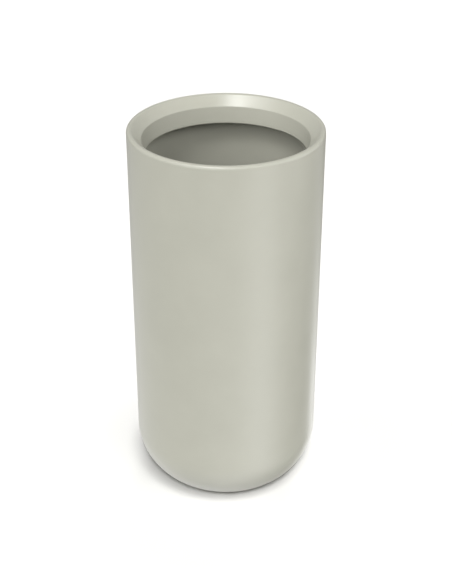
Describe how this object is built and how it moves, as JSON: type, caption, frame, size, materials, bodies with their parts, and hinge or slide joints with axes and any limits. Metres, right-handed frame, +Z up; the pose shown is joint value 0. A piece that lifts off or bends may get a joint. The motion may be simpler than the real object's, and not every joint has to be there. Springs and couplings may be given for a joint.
{
  "type": "tall planter",
  "caption": "Tall round floor planter with a straight wall, a rounded base on levelling feet, a turned-in sloping rim and a lift-out pot shelf.",
  "frame": {"origin": "on the floor, under the planter's axis", "axes": "+Z up along the planter's axis; the front, which the picture shows, faces -Y"},
  "size_m": [0.36, 0.36, 0.75],
  "materials": {
    "shell_paint": "satin pale grey-green powder coat",
    "plate_zinc": "zinc-plated steel plate",
    "fastener_zinc": "bright zinc-plated steel",
    "seal_rubber": "smooth black rubber",
    "drain_plastic": "moulded dark grey plastic",
    "shelf_aluminium": "plain spun aluminium",
    "foot_nylon": "moulded black nylon",
    "sole_rubber": "matt grey anti-slip rubber",
    "pad_rubber": "matt black rubber"
  },
  "bodies": {
    "planter": {"wall_tube": "shell_paint", "base_bowl": "shell_paint", "rim_ring": "shell_paint", "base_plate": "plate_zinc", "plate_screws": "fastener_zinc", "plate_washers": "seal_rubber", "drain_bush": "drain_plastic", "drain_gasket": "seal_rubber", "drain_nut": "drain_plastic", "shelf_bracket_right": "shell_paint", "shelf_bracket_back": "shell_paint", "shelf_bracket_left": "shell_paint", "shelf_bracket_front": "shell_paint", "bracket_pad_right": "pad_rubber", "bracket_pad_back": "pad_rubber", "bracket_pad_left": "pad_rubber", "bracket_pad_front": "pad_rubber"},
    "shelf": {"shelf_plate": "shelf_aluminium"},
    "plug_seal": {"plug_seal": "seal_rubber"},
    "drain_plug": {"drain_plug": "drain_plastic"},
    "front_right_foot_pad": {"foot_pad_front_right": "foot_nylon", "foot_sole_front_right": "sole_rubber"},
    "front_right_foot_stud": {"foot_stud_front_right": "fastener_zinc"},
    "back_right_foot_pad": {"foot_pad_back_right": "foot_nylon", "foot_sole_back_right": "sole_rubber"},
    "back_right_foot_stud": {"foot_stud_back_right": "fastener_zinc"},
    "back_left_foot_pad": {"foot_pad_back_left": "foot_nylon", "foot_sole_back_left": "sole_rubber"},
    "back_left_foot_stud": {"foot_stud_back_left": "fastener_zinc"},
    "front_left_foot_pad": {"foot_pad_front_left": "foot_nylon", "foot_sole_front_left": "sole_rubber"},
    "front_left_foot_stud": {"foot_stud_front_left": "fastener_zinc"}
  },
  "joints": [
    {"name": "shelf_lift", "type": "slide", "parent": "planter", "child": "shelf", "axis": [0, 0, 1], "range_m": [0, 0.35]},
    {"name": "plug_unscrew", "type": "slide", "parent": "planter", "child": "plug_seal", "axis": [0, 0, -1], "range_m": [0, 0.018]},
    {"name": "plug_turn", "type": "hinge", "parent": "plug_seal", "child": "drain_plug", "pos_m": [0, 0, 0.00585], "axis": [0, 0, -1], "range_deg": [-45, 3617]},
    {"name": "front_right_foot_extend", "type": "slide", "parent": "planter", "child": "front_right_foot_pad", "axis": [0, 0, -1], "range_m": [0, 0.015]},
    {"name": "front_right_foot_turn", "type": "hinge", "parent": "front_right_foot_pad", "child": "front_right_foot_stud", "pos_m": [0.06588, -0.06588, 0.00755], "axis": [0, 0, -1], "range_deg": [-45, 3131]},
    {"name": "back_right_foot_extend", "type": "slide", "parent": "planter", "child": "back_right_foot_pad", "axis": [0, 0, -1], "range_m": [0, 0.015]},
    {"name": "back_right_foot_turn", "type": "hinge", "parent": "back_right_foot_pad", "child": "back_right_foot_stud", "pos_m": [0.06588, 0.06588, 0.00755], "axis": [0, 0, -1], "range_deg": [-45, 3131]},
    {"name": "back_left_foot_extend", "type": "slide", "parent": "planter", "child": "back_left_foot_pad", "axis": [0, 0, -1], "range_m": [0, 0.015]},
    {"name": "back_left_foot_turn", "type": "hinge", "parent": "back_left_foot_pad", "child": "back_left_foot_stud", "pos_m": [-0.06588, 0.06588, 0.00755], "axis": [0, 0, -1], "range_deg": [-45, 3131]},
    {"name": "front_left_foot_extend", "type": "slide", "parent": "planter", "child": "front_left_foot_pad", "axis": [0, 0, -1], "range_m": [0, 0.015]},
    {"name": "front_left_foot_turn", "type": "hinge", "parent": "front_left_foot_pad", "child": "front_left_foot_stud", "pos_m": [-0.06588, -0.06588, 0.00755], "axis": [0, 0, -1], "range_deg": [-45, 3131]}
  ],
  "couplings": [
    {"joint": "plug_turn", "follows": "plug_unscrew", "rad_per_m": 3463.7},
    {"joint": "front_right_foot_turn", "follows": "front_right_foot_extend", "rad_per_m": 3590.4},
    {"joint": "back_right_foot_turn", "follows": "back_right_foot_extend", "rad_per_m": 3590.4},
    {"joint": "back_left_foot_turn", "follows": "back_left_foot_extend", "rad_per_m": 3590.4},
    {"joint": "front_left_foot_turn", "follows": "front_left_foot_extend", "rad_per_m": 3590.4}
  ]
}
